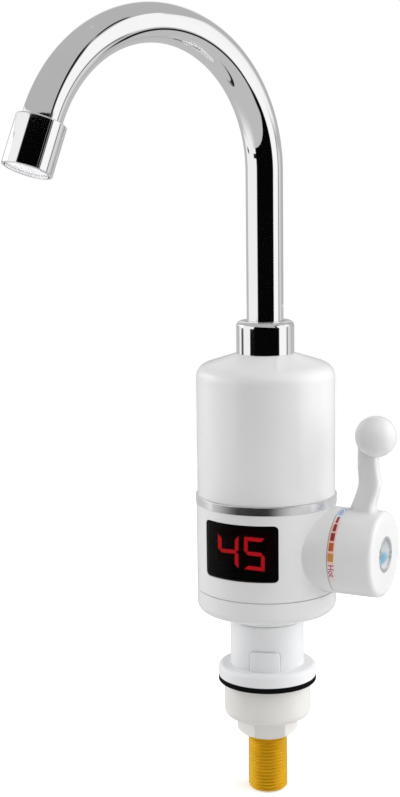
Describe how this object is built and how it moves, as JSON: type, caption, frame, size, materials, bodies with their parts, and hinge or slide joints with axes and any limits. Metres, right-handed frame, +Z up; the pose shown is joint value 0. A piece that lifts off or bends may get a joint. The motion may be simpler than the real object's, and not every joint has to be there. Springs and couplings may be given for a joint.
{
  "type": "electric instant water heater tap",
  "caption": "Deck-mounted instant water heating tap with a swivel gooseneck spout, digital display, side lever valve, threaded shank and clamp nut.",
  "frame": {"origin": "centre of the deck seal's underside, in the plane of the worktop's top face", "axes": "+Z up along the body, -Y to the display, +X to the valve handle"},
  "size_m": [0.1386, 0.1879, 0.41],
  "materials": {
    "white_plastic": "glossy moulded ABS",
    "warm_plastic": "satin moulded ABS",
    "black_rubber": "matt rubber",
    "red_rubber": "silicone rubber",
    "bright_chrome": "polished chrome",
    "silver_trim": "satin silver",
    "yellow_brass": "turned brass",
    "stainless": "plain stainless steel",
    "steel_screw": "zinc plated",
    "black_window": "glossy smoked plastic",
    "black_plastic": "matt moulding",
    "grey_plastic": "matt moulding",
    "board_green": "lacquered board",
    "white_ceramic": "lapped ceramic",
    "scale_print": "printed strip",
    "button_lens": "glassy blue plastic",
    "nylon": "nylon"
  },
  "bodies": {
    "body": {"deck_seal": "black_rubber", "neck": "white_plastic", "inlet_shank": "yellow_brass", "shank_o_ring": "black_rubber", "inlet_strainer": "stainless", "bottom_cap": "white_plastic", "cap_screws": "steel_screw", "lower_housing": "white_plastic", "trim_ring": "silver_trim", "upper_housing": "white_plastic", "display_lens": "black_window", "digit_module": "black_plastic", "control_board": "board_green", "valve_body": "yellow_brass", "fixed_disc": "white_ceramic", "cartridge_nut": "yellow_brass", "spindle_o_ring": "black_rubber", "cord_grommet": "black_rubber", "switch_housing": "grey_plastic", "switch_diaphragm": "red_rubber", "switch_cover": "grey_plastic", "switch_spring": "stainless", "micro_switch": "black_plastic", "terminal_block": "nylon", "transfer_hose": "red_rubber", "hose_clips": "steel_screw", "chamber_base": "stainless", "chamber_seal": "red_rubber", "heating_chamber": "stainless", "chamber_screws": "steel_screw", "heating_element": "stainless", "temperature_probe": "yellow_brass", "thermal_cutout": "black_plastic", "outlet_stub": "yellow_brass", "collar_nut": "bright_chrome", "spout_bush": "nylon"},
    "spout": {"spout_tube": "bright_chrome", "spout_spigot": "yellow_brass", "spout_o_rings": "black_rubber", "aerator_housing": "bright_chrome", "aerator_washer": "black_rubber", "aerator_insert": "grey_plastic"},
    "handle": {"valve_handle": "white_plastic", "handle_screw": "steel_screw", "index_ring": "bright_chrome", "index_lens": "button_lens", "scale_strip": "scale_print", "valve_spindle": "yellow_brass", "moving_disc": "white_ceramic"},
    "clamp": {"clamp_cup": "warm_plastic"},
    "nut": {"fixing_nut": "warm_plastic"},
    "plunger": {"switch_plunger": "nylon"}
  },
  "joints": [
    {"name": "spout_swivel", "type": "hinge", "parent": "body", "child": "spout", "pos_m": [0, 0, 0.18], "axis": [0, 0, 1], "continuous": true},
    {"name": "handle_turn", "type": "hinge", "parent": "body", "child": "handle", "pos_m": [0, 0, 0.075], "axis": [1, 0, 0], "range_deg": [-90, 90]},
    {"name": "clamp_slide", "type": "slide", "parent": "body", "child": "clamp", "axis": [0, 0, -1], "range_m": [0, 0.018]},
    {"name": "nut_spin", "type": "hinge", "parent": "clamp", "child": "nut", "pos_m": [0, 0, -0.0245], "axis": [0, 0, -1], "range_deg": [0, 3572]},
    {"name": "plunger_slide", "type": "slide", "parent": "body", "child": "plunger", "axis": [-1, 0, 0], "range_m": [0, 0.002], "stiffness_N_per_m": 300, "springref_m": -0.0005, "deforming": ["switch_spring"]}
  ],
  "couplings": [
    {"joint": "nut_spin", "follows": "clamp_slide", "rad_per_m": 3463.2}
  ]
}
